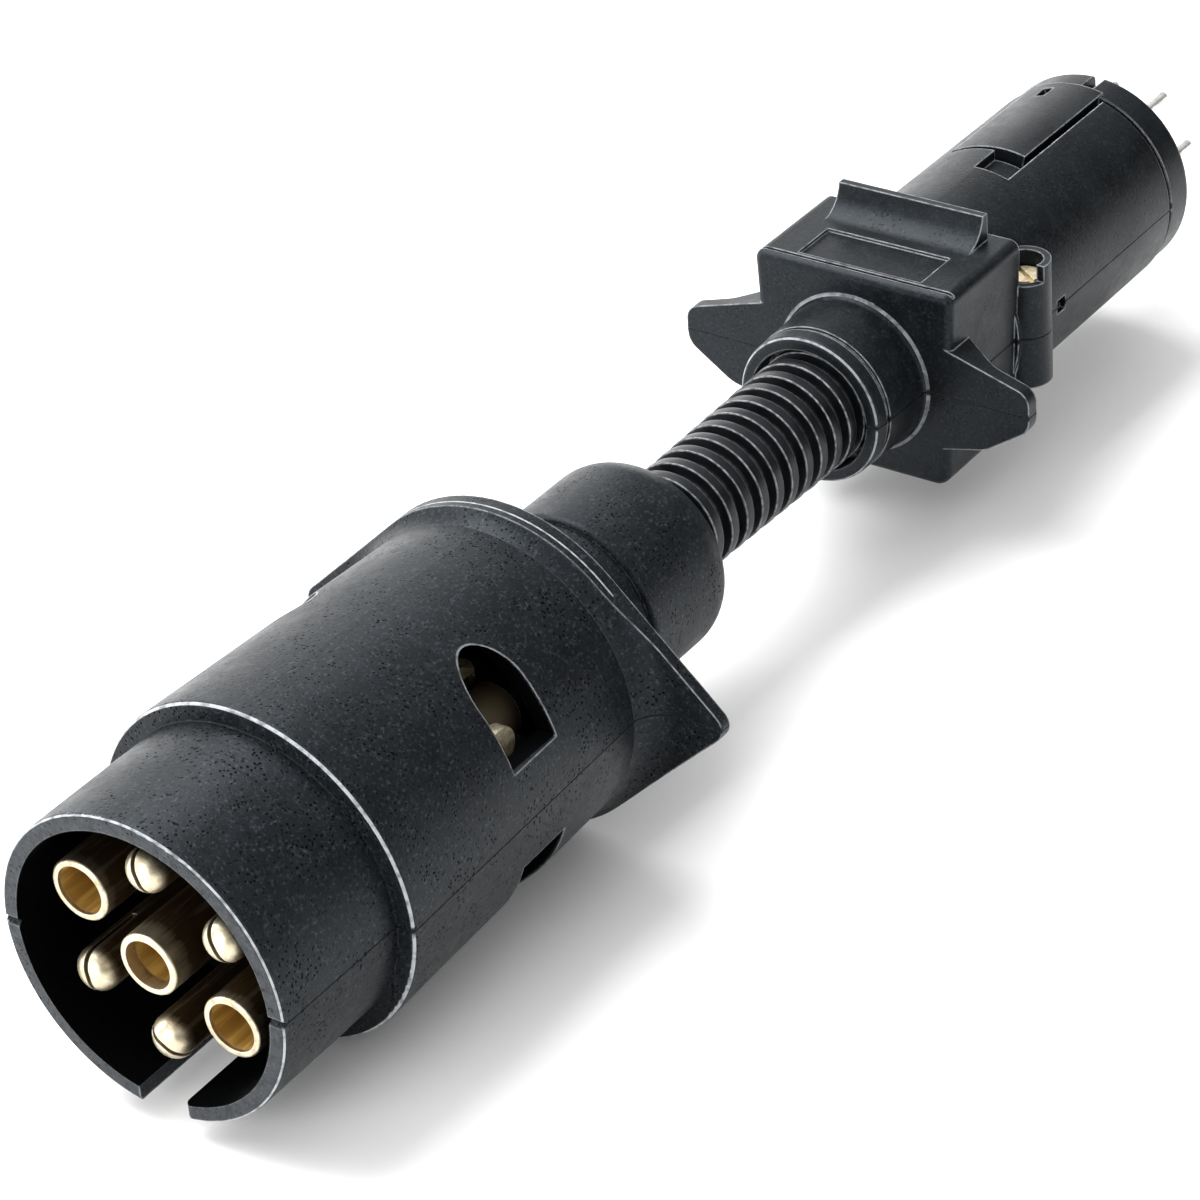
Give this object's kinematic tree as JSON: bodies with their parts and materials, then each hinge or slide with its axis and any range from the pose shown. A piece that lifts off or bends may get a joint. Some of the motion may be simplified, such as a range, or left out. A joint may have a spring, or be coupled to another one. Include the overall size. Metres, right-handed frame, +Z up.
{
  "type": "trailer wiring connector",
  "caption": "Trailer wiring adaptor: a large round plug with a winged flange, a short ribbed flexible conduit and a small round plug with a square finger grip and thin pins.",
  "frame": {"origin": "centre of the large plug's mating face", "axes": "+X along the object towards the small plug's pins, +Z up, keyway slot at -Z, finger wings along Y"},
  "size_m": [0.247, 0.0664, 0.048],
  "materials": {
    "grained_black_plastic": "fine pitted grain, satin",
    "smooth_black_plastic": "smooth satin",
    "insulator_plastic": "matt",
    "insert_plastic": "satin",
    "conduit_rubber": "smooth ribbed",
    "contact_brass": "turned brass, dull shank",
    "screw_brass": "bright brass",
    "plated_pin": "bright nickel plate",
    "wire_insulation": "smooth"
  },
  "bodies": {
    "large_plug": {"plug_shell_upper": "grained_black_plastic", "plug_shell_lower": "grained_black_plastic", "contact_carrier": "insulator_plastic", "socket_contact_1": "contact_brass", "socket_contact_2": "contact_brass", "socket_contact_3": "contact_brass", "split_pin_1": "contact_brass", "split_pin_2": "contact_brass", "split_pin_3": "contact_brass", "split_pin_4": "contact_brass", "terminal_screws": "screw_brass", "gland_cap": "grained_black_plastic", "conduit_1": "conduit_rubber", "wires_1": "wire_insulation"},
    "bend_link_1": {"conduit_2": "conduit_rubber", "wires_2": "wire_insulation"},
    "bend_link_2": {"conduit_3": "conduit_rubber", "wires_3": "wire_insulation"},
    "bend_link_3": {"conduit_4": "conduit_rubber", "wires_4": "wire_insulation"},
    "small_plug": {"conduit_5": "conduit_rubber", "wires_5": "wire_insulation", "grip_housing_upper": "smooth_black_plastic", "grip_housing_lower": "smooth_black_plastic", "boss_screws": "screw_brass", "pin_insert": "insert_plastic", "thin_pin_1": "plated_pin", "thin_pin_2": "plated_pin", "thin_pin_3": "plated_pin", "thin_pin_4": "plated_pin", "thin_pin_5": "plated_pin", "thin_pin_6": "plated_pin", "thin_pin_7": "plated_pin"}
  },
  "joints": [
    {"name": "bend_vertical_front", "type": "hinge", "parent": "large_plug", "child": "bend_link_1", "pos_m": [0.1189, 0, 0], "axis": [0, 1, 0], "range_deg": [-18, 18], "stiffness_Nm_per_rad": 1.2, "deforming": ["conduit_1", "conduit_2", "wires_1", "wires_2"]},
    {"name": "bend_sideways_front", "type": "hinge", "parent": "bend_link_1", "child": "bend_link_2", "pos_m": [0.1263, 0, 0], "axis": [0, 0, 1], "range_deg": [-18, 18], "stiffness_Nm_per_rad": 1.2, "deforming": ["conduit_2", "conduit_3", "wires_2", "wires_3"]},
    {"name": "bend_vertical_rear", "type": "hinge", "parent": "bend_link_2", "child": "bend_link_3", "pos_m": [0.1337, 0, 0], "axis": [0, 1, 0], "range_deg": [-18, 18], "stiffness_Nm_per_rad": 1.2, "deforming": ["conduit_3", "conduit_4", "wires_3", "wires_4"]},
    {"name": "bend_sideways_rear", "type": "hinge", "parent": "bend_link_3", "child": "small_plug", "pos_m": [0.1411, 0, 0], "axis": [0, 0, 1], "range_deg": [-18, 18], "stiffness_Nm_per_rad": 1.2, "deforming": ["conduit_4", "conduit_5", "wires_4", "wires_5"]}
  ],
  "couplings": [
    {"joint": "bend_vertical_rear", "follows": "bend_vertical_front", "ratio": 1},
    {"joint": "bend_sideways_rear", "follows": "bend_sideways_front", "ratio": 1}
  ]
}
